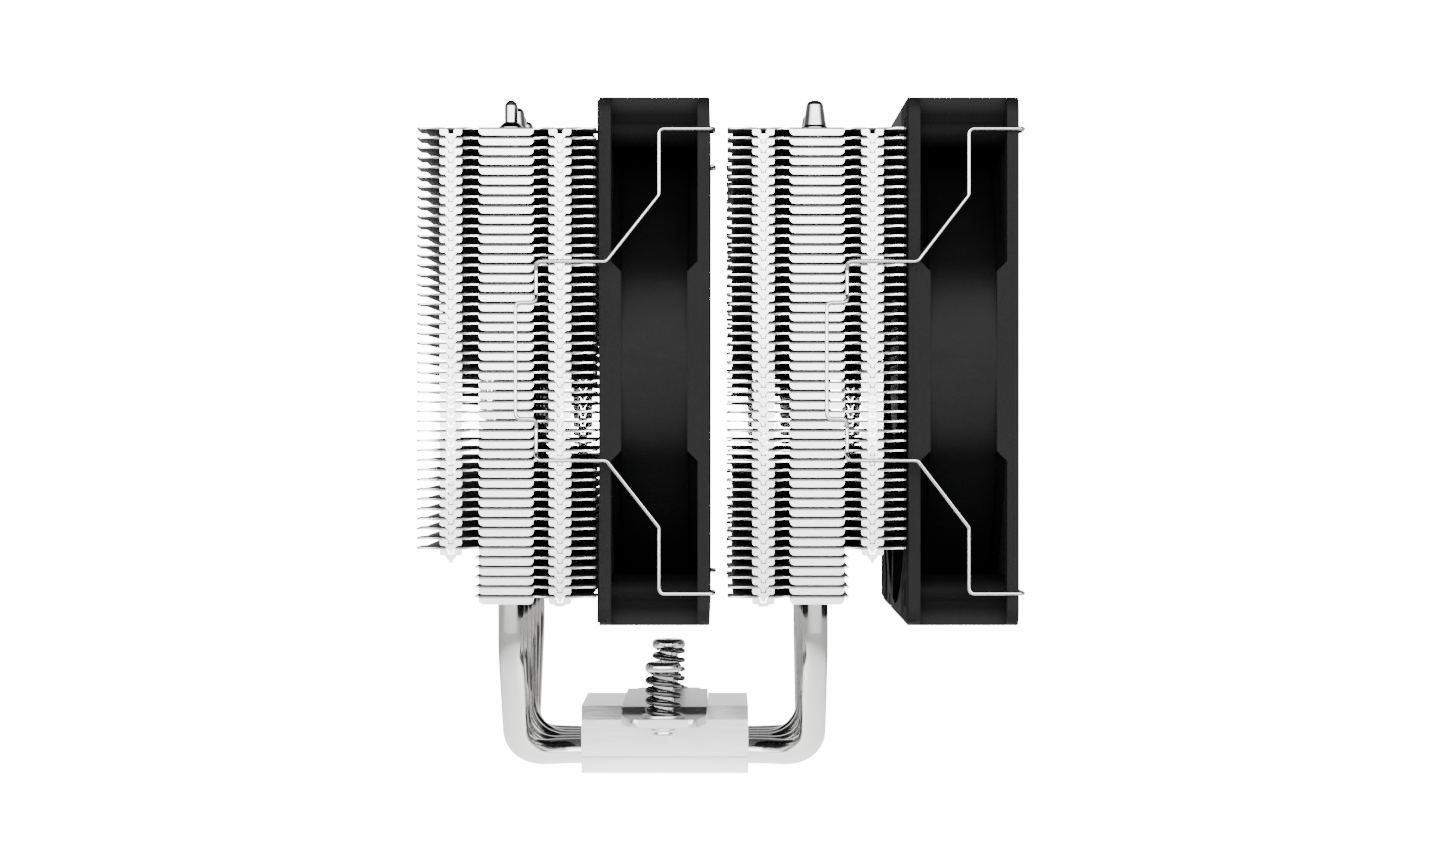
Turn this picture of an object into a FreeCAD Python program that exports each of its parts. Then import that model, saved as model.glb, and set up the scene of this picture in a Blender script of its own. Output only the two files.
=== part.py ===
import FreeCAD, Part
import math
import os
import Sketcher

# Dual-tower processor cooler: a base with six U-shaped heat pipes, two stacks of sheet fins, a
# crossbar with two captive spring screws, and two 120 mm fans held by wire clips.
# Frame: origin in the middle of the cold plate's contact face, +Z up along the heat pipes, X along
# the airflow (the air moves towards -X), Y along the fins and the crossbar.  Millimetres.

DIMENSIONS = {
    # base: cold plate under a base block, the pipes lying between them
    "base_length": 39.7,
    "base_width": 40.4,
    "plate_thick": 4.1,
    "base_top": 16.0,
    "base_bevel_high": 3.3,
    "base_bevel_deep": 1.3,
    "channel_width": 20.3,
    # heat pipes
    "pipe_radius": 3.0,
    "pipe_axis_z": 5.0,
    "pipe_top_z": 151.4,
    "pipe_bend_radius": 11.0,
    "pipe_splay_z": 31.0,
    "pipe_base_pitch": 6.5,
    "pipe_elbow_pitch": 9.05,
    "pipe_fin_pitch": 18.0,
    "pipe_leaves_base_x": 23.3,
    "tip_top_z": 157.7,
    "tip_cone_radius": 2.65,
    "tip_end_radius": 1.95,
    "nozzle_radius": 1.5,
    # fin stacks
    "tower_x": 35.0,
    "fin_depth": 40.4,
    "fin_width": 127.0,
    "fin_sheet": 0.4,
    "fin_pitch": 2.2,
    "fin_count": 49,
    "fin_top_z": 150.0,
    "fin_corner": 2.5,
    "fin_step": 1.2,
    "fin_step_from_side": 13.0,
    "flange_high": 1.85,
    "wide_flange": 12.4,
    "link_flange": 5.0,
    "link_inner": 12.1,
    "link_outer": 12.45,
    "groove_inner": 6.75,
    "groove_outer": 6.75,
    "groove_width": 1.6,
    "groove_deep": 1.3,
    "cutaway_fins": 5,
    "cutaway_from": 7.2,
    # crossbar
    "bar_width": 20.0,
    "bar_thick": 2.0,
    "bar_top": 16.4,
    "bar_drop": 1.3,
    "bar_drop_y": 26.8,
    "bar_taper_y": 35.0,
    "bar_tip_width": 15.0,
    "bar_tip_y": 47.0,
    "bar_tip_round": 2.0,
    "bar_screw_y": 8.0,
    "bar_screw_radius": 1.5,
    "bar_screw_head": 2.8,
    "bar_screw_length": 5.5,
    # captive spring screws
    "screw_y": 41.0,
    "screw_radius": 2.4,
    "screw_clearance": 0.08,
    "screw_bottom": 10.6,
    "screw_bore": 1.25,
    "screw_bore_top": 19.0,
    "screw_head_radius": 4.25,
    "screw_head_z": 25.4,
    "screw_head_top": 28.0,
    "screw_head_round": 1.2,
    "recess_long": 5.0,
    "recess_wide": 1.1,
    "recess_deep": 1.7,
    "washer_radius": 4.95,
    "washer_thick": 0.7,
    "spring_wire": 1.3,
    "spring_outer": 8.5,
    "spring_turns": 3.6,
    "e_clip_radius": 3.05,
    "e_clip_thick": 0.8,
    "e_clip_z": 12.0,
    "neck_radius": 1.9,
    "neck_play": 0.05,
    # fans
    "fan_size": 120.0,
    "fan_thick": 25.0,
    "fan_ahead": 33.25,
    "fan_z": 97.4,
    "fan_corner": 4.0,
    "fan_bore": 58.0,
    "barrel_radius": 59.9,
    "barrel_step": 0.9,
    "rim": 2.7,
    "rim_thick": 5.0,
    "rim_thick_half": 20.3,
    "cable_slot_y": 20.0,
    "cable_slot_wide": 6.0,
    "cable_slot_deep": 3.2,
    "wall": 1.4,
    "boss_radius": 4.0,
    "web_low": -0.5,
    "web_face": 3.5,
    "hole_radius": 2.15,
    "hole_spacing": 105.0,
    "intake_chamfer": 1.2,
    "pad_reach": 23.0,
    "pad_leg": 8.0,
    "pad_edge": 0.8,
    "pad_hole": 3.4,
    "pad_thick": 2.0,
    "pad_proud": 0.4,
    "hub_plate": 3.0,
    "hub_radius": 20.0,
    "strut_width": 5.0,
    "strut_count": 4,
    "strut_thick": 3.0,
    "strut_lean": 14.0,
    # fan motor, lengths along the shaft measured from the fan's middle
    "blade_count": 9,
    "blade_x": 0.3,
    "blade_edge": 0.3,
    "blade_camber": 0.075,
    "root_chord": 21.0,
    "root_lean": 44.0,
    "root_sweep": -2.0,
    "root_thick": 2.0,
    "middle_chord": 30.0,
    "middle_lean": 30.0,
    "middle_sweep": 1.5,
    "middle_thick": 1.7,
    "tip_chord": 41.0,
    "tip_lean": 21.0,
    "tip_sweep": 7.5,
    "tip_thick": 1.2,
    "tip_clearance": 1.0,
    "cup_radius": 19.8,
    "cup_inner": 17.2,
    "cup_open_x": -7.5,
    "cup_front_x": 11.0,
    "cup_front_thick": 2.2,
    "cup_edge": 1.6,
    "cup_boss": 2.5,
    "cup_boss_radius": 3.2,
    "yoke_thick": 0.8,
    "yoke_inset": 0.5,
    "yoke_hole": 6.0,
    "magnet_thick": 2.0,
    "magnet_length": 12.0,
    "stator_gap": 0.5,
    "stator_length": 8.0,
    "pole_count": 4,
    "pole_half_width": 1.9,
    "pole_root": 5.2,
    "coil_inner": 6.2,
    "coil_outer": 8.15,
    "coil_half_width": 3.4,
    "coil_over_core": 1.4,
    "shaft_radius": 1.5,
    "shaft_play": 0.05,
    "shaft_inset": 1.0,
    "shaft_in_cup": 0.6,
    "shaft_neck_from": 0.5,
    "shaft_neck_long": 0.6,
    "shaft_neck_deep": 0.3,
    "retainer_play": 0.05,
    "sleeve_behind_neck": 0.5,
    "sleeve_radius": 3.0,
    "tube_radius": 4.0,
    "tube_top_x": 5.0,
    "circuit_radius": 16.5,
    "circuit_thick": 1.2,
    "label_radius": 17.0,
    "label_thick": 0.15,
    # wire clips, places measured from the fan's middle
    "wire_radius": 0.45,
    "wire_bend": 1.25,
    "clip_reach": 26.5,
    "clip_hook": 3.0,
    "clip_face_gap": 0.95,
    "clip_frame_gap": 1.0,
    "clip_fin_gap": 0.75,
    "clip_groove_depth": 0.3,
    "clip_across_frame": 11.4,
    "clip_drop": 14.9,
    "clip_slant": 11.8,
    "clip_arm_z": 22.4,
    "clip_groove_high_z": 20.6,
    "clip_groove_low_z": 14.9,
    "clip_loop_z": 13.1,
    "clip_loop": 4.6,
}

document = FreeCAD.newDocument("tower_cooler")
sheet = document.addObject("Spreadsheet::Sheet", "dims")
for row, (alias, value) in enumerate(DIMENSIONS.items(), start=1):
    sheet.set(f"A{row}", alias.replace("_", " "))
    sheet.set(f"B{row}", str(value))
    sheet.setAlias(f"B{row}", alias)
document.recompute()

sub_parts = []


# ---------------------------------------------------------------- helpers

def size(text):
    """Value of an expression of the sheet's cells."""
    return float(sheet.evalExpression(text))


def vector(*numbers):
    return FreeCAD.Vector(*numbers)


def new_body(label):
    """Empty body that becomes one exported sub-part."""
    body = document.addObject("PartDesign::Body", label)
    body.Label = label
    sub_parts.append(body)
    return body


def origin_feature(body, role):
    return next(item for item in body.Origin.OriginFeatures if item.Role == role)


def new_sketch(body, role, lift="0"):
    """Sketch on a plane of the body's origin, moved along the plane's normal by an expression."""
    sketch = body.newObject("Sketcher::SketchObject", body.Name + "_sketch")
    sketch.AttachmentSupport = [(origin_feature(body, role), "")]
    sketch.MapMode = "FlatFace"
    sketch.setExpression("AttachmentOffset.Base.z", lift)
    return sketch


def bind(sketch, kind, where, text):
    """Constraint whose value stays an expression of the sheet's cells."""
    index = sketch.addConstraint(Sketcher.Constraint(kind, *where, size(text)))
    sketch.setExpression(f"Constraints[{index}]", text)


def polygon(sketch, corners):
    """Closed outline; each corner is a pair of expressions."""
    first = sketch.GeometryCount
    spots = [vector(size(across), size(up), 0) for across, up in corners]
    for start, end in zip(spots, spots[1:] + spots[:1]):
        sketch.addGeometry(Part.LineSegment(start, end), False)
    for index, (across, up) in enumerate(corners):
        line = first + index
        following = first + (index + 1) % len(corners)
        sketch.addConstraint(Sketcher.Constraint("Coincident", line, 2, following, 1))
        bind(sketch, "DistanceX", (-1, 1, line, 1), across)
        bind(sketch, "DistanceY", (-1, 1, line, 1), up)


def rectangle(sketch, left, right, low, high):
    polygon(sketch, [(left, low), (right, low), (right, high), (left, high)])


def rounded_square(sketch, half, radius):
    """Square about the origin with round corners, drawn anticlockwise."""
    first = sketch.GeometryCount
    far = size(half)
    near = size(f"{half} - {radius}")
    for quarter in range(4):
        spin = FreeCAD.Rotation(vector(0, 0, 1), 90 * quarter)
        start, end, centre = [spin.multVec(spot) for spot in (
            vector(far, -near, 0), vector(far, near, 0), vector(near, near, 0))]
        sketch.addGeometry(Part.LineSegment(start, end), False)
        corner = Part.Circle(centre, vector(0, 0, 1), size(radius))
        begin = math.radians(90 * quarter)
        sketch.addGeometry(Part.ArcOfCircle(corner, begin, begin + math.pi / 2), False)
    for quarter, (across, up) in enumerate((("", ""), ("-", ""), ("-", "-"), ("", "-"))):
        line = first + 2 * quarter
        arc = line + 1
        next_line = first + (2 * quarter + 2) % 8
        sketch.addConstraint(Sketcher.Constraint("Tangent", line, 2, arc, 1))
        sketch.addConstraint(Sketcher.Constraint("Tangent", arc, 2, next_line, 1))
        bind(sketch, "Radius", (arc,), radius)
        bind(sketch, "DistanceX", (-1, 1, arc, 3), f"{across}({half} - {radius})")
        bind(sketch, "DistanceY", (-1, 1, arc, 3), f"{up}({half} - {radius})")


def circle(sketch, across, up, radius):
    index = sketch.GeometryCount
    centre = vector(size(across), size(up), 0)
    sketch.addGeometry(Part.Circle(centre, vector(0, 0, 1), size(radius)), False)
    bind(sketch, "Radius", (index,), radius)
    bind(sketch, "DistanceX", (-1, 1, index, 3), across)
    bind(sketch, "DistanceY", (-1, 1, index, 3), up)


def pad(body, sketch, length):
    """Solid from the sketch, along its normal."""
    feature = body.newObject("PartDesign::Pad", body.Name + "_pad")
    feature.Profile = sketch
    feature.setExpression("Length", length)
    return feature


def pocket(body, sketch, length):
    """Cut from the sketch, along its normal; it has to take something away."""
    document.recompute()
    before = body.Shape.Volume
    feature = body.newObject("PartDesign::Pocket", body.Name + "_pocket")
    feature.Profile = sketch
    feature.Reversed = True
    feature.setExpression("Length", length)
    document.recompute()
    if body.Shape.Volume > before - 0.01:
        raise RuntimeError(f"{feature.Name} cuts nothing")
    return feature


def turn(body, sketch, axis="H_Axis"):
    """Solid of revolution about one of the sketch's own axes."""
    feature = body.newObject("PartDesign::Revolution", body.Name + "_turn")
    feature.Profile = sketch
    feature.ReferenceAxis = (sketch, [axis])
    feature.Angle = 360
    return feature


def polar(body, originals, count, role="X_Axis"):
    """Copies of features about an axis of the body's origin."""
    feature = body.newObject("PartDesign::PolarPattern", body.Name + "_polar")
    feature.Originals = originals
    feature.Axis = (origin_feature(body, role), [""])
    feature.Angle = 360
    feature.setExpression("Occurrences", count)
    body.Tip = feature
    return feature


def soften(body, kind, amount, wanted):
    """Fillet or chamfer on the edges that a test picks."""
    document.recompute()
    names = [f"Edge{index}" for index, edge in enumerate(body.Shape.Edges, start=1) if wanted(edge)]
    base = body.Tip
    feature = body.newObject("PartDesign::" + kind, body.Name + "_" + kind.lower())
    feature.Base = (base, names)
    feature.setExpression("Radius" if kind == "Fillet" else "Size", amount)


def place(body, along_x="0", along_y="0", along_z="0"):
    """Placement of a finished body."""
    for axis, text in zip("xyz", (along_x, along_y, along_z)):
        body.setExpression("Placement.Base." + axis, text)


def rounded_path(label, corners, radius):
    """Path of straight runs joined by tangent arcs of one radius."""
    edges = []
    start = corners[0]
    for before, corner, after in zip(corners, corners[1:], corners[2:]):
        arriving = (corner - before).normalize()
        leaving = (after - corner).normalize()
        bend = arriving.getAngle(leaving)
        cut = radius * math.tan(bend / 2)
        inward = (leaving - arriving).normalize()
        middle = corner + inward * (radius / math.cos(bend / 2) - radius)
        edges.append(Part.LineSegment(start, corner - arriving * cut).toShape())
        edges.append(Part.Arc(corner - arriving * cut, middle, corner + leaving * cut).toShape())
        start = corner + leaving * cut
    edges.append(Part.LineSegment(start, corners[-1]).toShape())
    path = document.addObject("Part::Feature", label)
    path.Shape = Part.Wire(edges)
    return path


def sweep(body, sketch, path):
    """Bar of the sketch's section along a path."""
    feature = body.newObject("PartDesign::AdditivePipe", body.Name + "_pipe")
    feature.Profile = sketch
    feature.Spine = (path, [f"Edge{index}" for index in range(1, len(path.Shape.Edges) + 1)])
    return feature


# ---------------------------------------------------------------- base and heat pipes

PIPE_PLACES = (-2.5, -1.5, -0.5, 0.5, 1.5, 2.5)


def pipe_grooves(sketch):
    for number in PIPE_PLACES:
        circle(sketch, f"{number} * dims.pipe_base_pitch", "dims.pipe_axis_z", "dims.pipe_radius")


def cold_plate():
    """Contact plate with the lower half of the pipe grooves."""
    body = new_body("cold_plate")
    outline = new_sketch(body, "XY_Plane")
    rectangle(outline, "-dims.base_length / 2", "dims.base_length / 2",
              "-dims.base_width / 2", "dims.base_width / 2")
    pad(body, outline, "dims.plate_thick")
    grooves = new_sketch(body, "YZ_Plane", "-dims.base_length")
    pipe_grooves(grooves)
    pocket(body, grooves, "2 * dims.base_length")


def base_block():
    """Block over the pipes: bevelled ends, U-shaped pipe grooves, a channel for the crossbar."""
    body = new_body("base_block")
    profile = new_sketch(body, "YZ_Plane", "-dims.base_length / 2")
    half = "dims.base_width / 2"
    bevel_z = "dims.base_top - dims.base_bevel_high"
    polygon(profile, [
        ("-" + half, "dims.plate_thick"),
        (half, "dims.plate_thick"),
        (half, bevel_z),
        (half + " - dims.base_bevel_deep", "dims.base_top"),
        ("-" + half + " + dims.base_bevel_deep", "dims.base_top"),
        ("-" + half, bevel_z),
    ])
    pad(body, profile, "dims.base_length")
    round_part = new_sketch(body, "YZ_Plane", "-dims.base_length")
    pipe_grooves(round_part)
    pocket(body, round_part, "2 * dims.base_length")
    straight_part = new_sketch(body, "YZ_Plane", "-dims.base_length")
    for number in PIPE_PLACES:
        middle = f"{number} * dims.pipe_base_pitch"
        rectangle(straight_part, middle + " - dims.pipe_radius", middle + " + dims.pipe_radius",
                  "dims.plate_thick - 1", "dims.pipe_axis_z")
    pocket(body, straight_part, "2 * dims.base_length")
    channel = new_sketch(body, "XY_Plane", "dims.bar_top - dims.bar_thick")
    rectangle(channel, "-dims.channel_width / 2", "dims.channel_width / 2",
              "-dims.base_width", "dims.base_width")
    pocket(body, channel, "dims.base_top")
    tapped = new_sketch(body, "XY_Plane", "dims.bar_top - dims.bar_screw_length")
    for side in ("-", ""):
        circle(tapped, "0", side + "dims.bar_screw_y", "dims.bar_screw_radius")
    pocket(body, tapped, "dims.bar_screw_length")


def heat_pipe(number, place_in_row):
    """One U-shaped pipe: six runs joined by bends, a swaged tip and a sealed filling nozzle."""
    body = new_body(f"heat_pipe_{number}")
    fin_y = size(f"{place_in_row} * dims.pipe_fin_pitch")
    elbow_y = size(f"{place_in_row} * dims.pipe_elbow_pitch")
    base_y = size(f"{place_in_row} * dims.pipe_base_pitch")
    tower_x = size("dims.tower_x")
    leaves_x = size("dims.pipe_leaves_base_x")
    axis_z = size("dims.pipe_axis_z")
    half_path = [
        vector(tower_x, fin_y, size("dims.pipe_top_z")),
        vector(tower_x, fin_y, size("dims.pipe_splay_z")),
        vector(tower_x, elbow_y, axis_z),
        vector(leaves_x, base_y, axis_z),
    ]
    other_half = [vector(-spot.x, spot.y, spot.z) for spot in half_path]
    path = rounded_path(f"pipe_path_{number}", half_path + other_half[::-1],
                        size("dims.pipe_bend_radius"))
    section = new_sketch(body, "XY_Plane", "dims.pipe_top_z")
    circle(section, "dims.tower_x", f"{place_in_row} * dims.pipe_fin_pitch", "dims.pipe_radius")
    sweep(body, section, path)
    nozzle_side = "-" if number % 2 else ""
    swaged_side = "" if number % 2 else "-"
    swaged_tip(body, swaged_side + "dims.tower_x", place_in_row)
    nozzle_tip(body, nozzle_side + "dims.tower_x", place_in_row)


def tip_sketch(body, place_in_row):
    """Upright sketch through the pipe's axis (the plane's normal points along -Y)."""
    return new_sketch(body, "XZ_Plane", f"-({place_in_row}) * dims.pipe_fin_pitch")


def turned_tip(body, sketch, middle, rings):
    """Tip turned about the pipe's axis from (radius, height) pairs, closed on the axis."""
    axis = sketch.addGeometry(Part.LineSegment(vector(size(middle), 0, 0),
                                               vector(size(middle), 100, 0)), True)
    bind(sketch, "DistanceX", (-1, 1, axis, 1), middle)
    bind(sketch, "DistanceX", (-1, 1, axis, 2), middle)
    bind(sketch, "DistanceY", (-1, 1, axis, 1), "0")
    bind(sketch, "DistanceY", (-1, 1, axis, 2), "100")
    corners = [(middle, rings[0][1])]
    corners += [(f"{middle} + {radius}", height) for radius, height in rings]
    corners += [(middle, rings[-1][1])]
    polygon(sketch, corners)
    turn(body, sketch, "Axis0")


def swaged_tip(body, middle, place_in_row):
    """Tapered end with a rounded top."""
    turned_tip(body, tip_sketch(body, place_in_row), middle, [
        ("dims.pipe_radius", "dims.pipe_top_z"),
        ("dims.tip_cone_radius", "dims.pipe_top_z + 0.6"),
        ("dims.tip_end_radius", "dims.tip_top_z - 1"),
        ("dims.tip_end_radius * 0.8", "dims.tip_top_z - 0.35"),
        ("dims.tip_end_radius * 0.4", "dims.tip_top_z"),
    ])


def nozzle_tip(body, middle, place_in_row):
    """Narrow filling nozzle on a shoulder, closed by a dome."""
    turned_tip(body, tip_sketch(body, place_in_row), middle, [
        ("dims.pipe_radius", "dims.pipe_top_z"),
        ("dims.nozzle_radius + 0.5", "dims.pipe_top_z + 1"),
        ("dims.nozzle_radius", "dims.pipe_top_z + 1.3"),
        ("dims.nozzle_radius", "dims.tip_top_z - 1.2"),
        ("dims.nozzle_radius * 0.8", "dims.tip_top_z - 0.5"),
        ("dims.nozzle_radius * 0.4", "dims.tip_top_z"),
    ])


# ---------------------------------------------------------------- fin stacks

def fin_outline(sketch):
    """Sheet with cut corners; both long edges step back between the side strips."""
    near = "dims.tower_x - dims.fin_depth / 2"
    far = "dims.tower_x + dims.fin_depth / 2"
    side = "dims.fin_width / 2"
    strip = side + " - dims.fin_step_from_side"
    quarter = [
        (far + " - dims.fin_step", strip + " - dims.fin_step"),
        (far, strip),
        (far, side + " - dims.fin_corner"),
        (far + " - dims.fin_corner", side),
    ]
    facing = [
        (near + " + dims.fin_corner", side),
        (near, side + " - dims.fin_corner"),
        (near, strip),
        (near + " + dims.fin_step", strip + " - dims.fin_step"),
    ]
    upper = quarter + facing
    lower = [(across, f"-({up})") for across, up in reversed(upper)]
    polygon(sketch, upper + lower)


def flange_strips(sketch):
    """Folded strips along both sides: one wide flange between two link flanges."""
    strips = [
        ("dims.tower_x", "dims.wide_flange"),
        ("dims.tower_x - dims.link_inner", "dims.link_flange"),
        ("dims.tower_x + dims.link_outer", "dims.link_flange"),
    ]
    for side in ("-", ""):
        for middle, width in strips:
            rectangle(sketch, f"{middle} - {width} / 2", f"{middle} + {width} / 2",
                      f"{side}(dims.fin_width / 2)", f"{side}(dims.fin_width / 2 - dims.fin_sheet)")


def fin_stack(label, turned):
    """Forty-nine sheet fins on six pipes; the lowest ones are cut away over the memory slots."""
    body = new_body(label)
    lowest = "dims.fin_top_z - dims.fin_pitch * (dims.fin_count - 1)"
    sheet_sketch = new_sketch(body, "XY_Plane", lowest + " - dims.fin_sheet")
    fin_outline(sheet_sketch)
    sheet_pad = pad(body, sheet_sketch, "dims.fin_sheet")
    flange_sketch = new_sketch(body, "XY_Plane", lowest + " - dims.flange_high")
    flange_strips(flange_sketch)
    flange_pad = pad(body, flange_sketch, "dims.flange_high")
    rows = body.newObject("PartDesign::LinearPattern", body.Name + "_rows")
    rows.Originals = [sheet_pad, flange_pad]
    rows.Direction = (origin_feature(body, "Z_Axis"), [""])
    rows.setExpression("Length", "dims.fin_pitch * (dims.fin_count - 1)")
    rows.setExpression("Occurrences", "dims.fin_count")
    body.Tip = rows
    openings = new_sketch(body, "XY_Plane")
    for place_in_row in PIPE_PLACES:
        circle(openings, "dims.tower_x", f"{place_in_row} * dims.pipe_fin_pitch", "dims.pipe_radius")
    for middle in ("dims.tower_x - dims.groove_inner", "dims.tower_x + dims.groove_outer"):
        for side in ("-", ""):
            rectangle(openings, f"{middle} - dims.groove_width / 2",
                      f"{middle} + dims.groove_width / 2",
                      f"{side}(dims.fin_width / 2 - dims.groove_deep)",
                      f"{side}(dims.fin_width / 2 + 1)")
    pocket(body, openings, "dims.fin_top_z + 1")
    cutaway = new_sketch(body, "XY_Plane")
    rectangle(cutaway, "dims.tower_x + dims.cutaway_from", "dims.tower_x + dims.fin_depth",
              "-dims.fin_width", "dims.fin_width")
    pocket(body, cutaway, lowest + " + dims.fin_pitch * (dims.cutaway_fins - 0.5)")
    if turned:
        body.Placement = FreeCAD.Placement(vector(), FreeCAD.Rotation(vector(0, 0, 1), 180))


# ---------------------------------------------------------------- crossbar and screws

def crossbar():
    """Bent bar in the block's channel: raised middle, dropped and tapered ends."""
    body = new_body("crossbar")
    side = new_sketch(body, "YZ_Plane", "-dims.bar_width / 2")
    low = "dims.bar_top - dims.bar_drop"
    drop_end = "dims.bar_drop_y + dims.bar_drop"
    upper = [
        ("dims.bar_drop_y", "dims.bar_top"),
        (drop_end, low),
        ("dims.bar_tip_y", low),
    ]
    lower = [
        ("dims.bar_tip_y", low + " - dims.bar_thick"),
        (drop_end + " - 0.8", low + " - dims.bar_thick"),
        ("dims.bar_drop_y - 0.8", "dims.bar_top - dims.bar_thick"),
    ]
    half = upper + lower
    mirrored = [(f"-({across})", up) for across, up in reversed(half)]
    polygon(side, half + mirrored)
    pad(body, side, "dims.bar_width")
    cuts = new_sketch(body, "XY_Plane")
    for x_side in ("-", ""):
        for y_side in ("-", ""):
            polygon(cuts, [
                (f"{x_side}dims.bar_width / 2", f"{y_side}dims.bar_taper_y"),
                (f"{x_side}dims.bar_tip_width / 2", f"{y_side}dims.bar_tip_y"),
                (f"{x_side}dims.bar_tip_width / 2", f"{y_side}(dims.bar_tip_y + 1)"),
                (f"{x_side}(dims.bar_width / 2 + 1)", f"{y_side}(dims.bar_tip_y + 1)"),
                (f"{x_side}(dims.bar_width / 2 + 1)", f"{y_side}dims.bar_taper_y"),
            ])
    for y_side in ("-", ""):
        circle(cuts, "0", f"{y_side}dims.screw_y", "dims.screw_radius + dims.screw_clearance")
        circle(cuts, "0", f"{y_side}dims.bar_screw_y", "dims.bar_screw_radius")
    pocket(body, cuts, "dims.bar_top + 1")
    countersinks = new_sketch(body, "XY_Plane", "dims.bar_top - 1.2")
    for y_side in ("-", ""):
        circle(countersinks, "0", f"{y_side}dims.bar_screw_y", "dims.bar_screw_head")
    pocket(body, countersinks, "2")
    tip = size("dims.bar_tip_y")
    soften(body, "Fillet", "dims.bar_tip_round",
           lambda edge: abs(abs(edge.CenterOfMass.y) - tip) < 0.01
           and edge.BoundBox.ZLength > size("dims.bar_thick") - 0.01)


def crossbar_screw(end, side):
    """Low-head screw that holds the crossbar to the block."""
    body = new_body("crossbar_screw_" + end)
    profile = new_sketch(body, "XZ_Plane")
    seat = "dims.bar_top - 1.2"
    polygon(profile, [
        ("0", "dims.bar_top - dims.bar_screw_length"),
        ("dims.bar_screw_radius", "dims.bar_top - dims.bar_screw_length"),
        ("dims.bar_screw_radius", seat),
        ("dims.bar_screw_head", seat),
        ("dims.bar_screw_head", "dims.bar_top - 0.1"),
        ("dims.bar_screw_head - 0.3", "dims.bar_top + 0.1"),
        ("0", "dims.bar_top + 0.1"),
    ])
    turn(body, profile, "V_Axis")
    cross_recess(body, "dims.bar_top + 0.1", "3.2", "0.7", "0.9")
    place(body, along_y=side + "dims.bar_screw_y")


def cross_recess(body, top, long, wide, deep):
    """Cross-shaped driver recess in the top of a head."""
    recess = new_sketch(body, "XY_Plane", f"{top} - {deep}")
    arm = f"{long} / 2"
    web = f"{wide} / 2"
    polygon(recess, [
        (arm, "-" + web), (arm, web), (web, web), (web, arm), ("-" + web, arm), ("-" + web, web),
        ("-" + arm, web), ("-" + arm, "-" + web), ("-" + web, "-" + web), ("-" + web, "-" + arm),
        (web, "-" + arm), (web, "-" + web),
    ])
    pocket(body, recess, "10")


def seat_washer(end, side):
    """Flat washer between the crossbar and the spring."""
    body = new_body("seat_washer_" + end)
    ring = new_sketch(body, "XY_Plane", "dims.bar_top - dims.bar_drop")
    circle(ring, "0", "0", "dims.washer_radius")
    circle(ring, "0", "0", "dims.screw_radius + dims.screw_clearance")
    pad(body, ring, "dims.washer_thick")
    place(body, along_y=side + "dims.screw_y")


def spring_screw(end, side):
    """Captive screw: pan head, plain shank with a neck for the e-clip, female thread below."""
    body = new_body("spring_screw_" + end)
    profile = new_sketch(body, "XZ_Plane")
    neck_low = "dims.e_clip_z - dims.neck_play"
    neck_high = "dims.e_clip_z + dims.e_clip_thick + dims.neck_play"
    polygon(profile, [
        ("0", "dims.screw_bore_top + 1"),
        ("dims.screw_bore", "dims.screw_bore_top"),
        ("dims.screw_bore", "dims.screw_bottom"),
        ("dims.screw_radius - 0.3", "dims.screw_bottom"),
        ("dims.screw_radius", "dims.screw_bottom + 0.3"),
        ("dims.screw_radius", neck_low),
        ("dims.neck_radius", neck_low),
        ("dims.neck_radius", neck_high),
        ("dims.screw_radius", neck_high),
        ("dims.screw_radius", "dims.screw_head_z"),
        ("dims.screw_head_radius", "dims.screw_head_z"),
        ("dims.screw_head_radius", "dims.screw_head_top"),
        ("0", "dims.screw_head_top"),
    ])
    turn(body, profile, "V_Axis")
    soften(body, "Fillet", "dims.screw_head_round", is_head_rim)
    cross_recess(body, "dims.screw_head_top", "dims.recess_long", "dims.recess_wide",
                 "dims.recess_deep")
    place(body, along_y=side + "dims.screw_y")


def is_head_rim(edge):
    """Upper and lower rim of a spring screw's head."""
    if not isinstance(edge.Curve, Part.Circle):
        return False
    return abs(edge.Curve.Radius - size("dims.screw_head_radius")) < 0.01


def screw_e_clip(end, side):
    """Open retaining ring in the screw's neck, under the crossbar."""
    body = new_body("screw_e_clip_" + end)
    ring = new_sketch(body, "XY_Plane", "dims.e_clip_z")
    circle(ring, "0", "0", "dims.e_clip_radius")
    circle(ring, "0", "0", "dims.neck_radius + dims.neck_play")
    pad(body, ring, "dims.e_clip_thick")
    mouth = new_sketch(body, "XY_Plane", "dims.e_clip_z")
    rectangle(mouth, "0", "dims.e_clip_radius + 1", "-dims.neck_radius * 0.6",
              "dims.neck_radius * 0.6")
    pocket(body, mouth, "dims.e_clip_thick")
    place(body, along_y=side + "dims.screw_y")


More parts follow.
